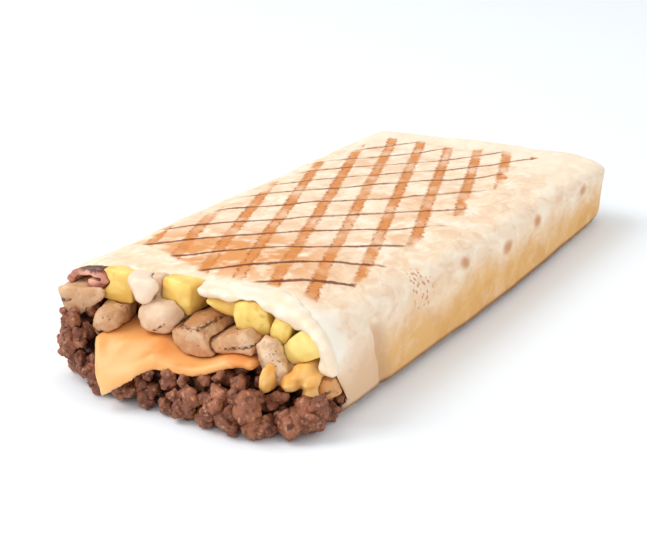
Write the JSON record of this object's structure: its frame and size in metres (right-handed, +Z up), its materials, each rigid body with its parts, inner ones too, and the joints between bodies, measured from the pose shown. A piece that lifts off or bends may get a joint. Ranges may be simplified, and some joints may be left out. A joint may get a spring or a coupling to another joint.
{
  "type": "french tacos",
  "caption": "Folded and grilled tortilla parcel, cut open to show minced beef, a cheese slice, chicken, fried potato, bacon and white cheese sauce.",
  "frame": {"origin": "on the table, at the middle of the bottom of the bounding box", "axes": "+Z up, +Y from the cut end to the folded end, +X to the right of the cut end"},
  "size_m": [0.099, 0.2356, 0.0352],
  "materials": {
    "tortilla": "soft matt flour tortilla, cream, with brown grill marks",
    "fried_potato": "golden fried potato, slightly greasy",
    "bacon": "cooked bacon, pink with a dark brown rim",
    "chicken": "cooked chicken, beige with brown specks and char lines",
    "melted_cheese": "melted orange-yellow cheese, glossy",
    "cheese_slice": "smooth orange cheese slice, softened",
    "cheese_sauce": "glossy creamy white cheese sauce",
    "minced_beef": "browned minced beef, moist"
  },
  "bodies": {
    "root": {"tortilla": "tortilla", "potato_top_left": "fried_potato", "potato_top_middle": "fried_potato", "potato_wedge": "fried_potato", "potato_right": "fried_potato", "potato_small": "fried_potato", "potato_corner": "fried_potato", "bacon": "bacon", "chicken_left_wedge": "chicken", "chicken_left": "chicken", "chicken_middle": "chicken", "chicken_grilled": "chicken", "chicken_pointed": "chicken", "chicken_right": "chicken", "chicken_edge": "chicken", "melted_drop": "melted_cheese", "melted_lobe": "melted_cheese", "cheese_slice": "cheese_slice", "cheese_sauce": "cheese_sauce", "minced_beef": "minced_beef"}
  },
  "joints": []
}
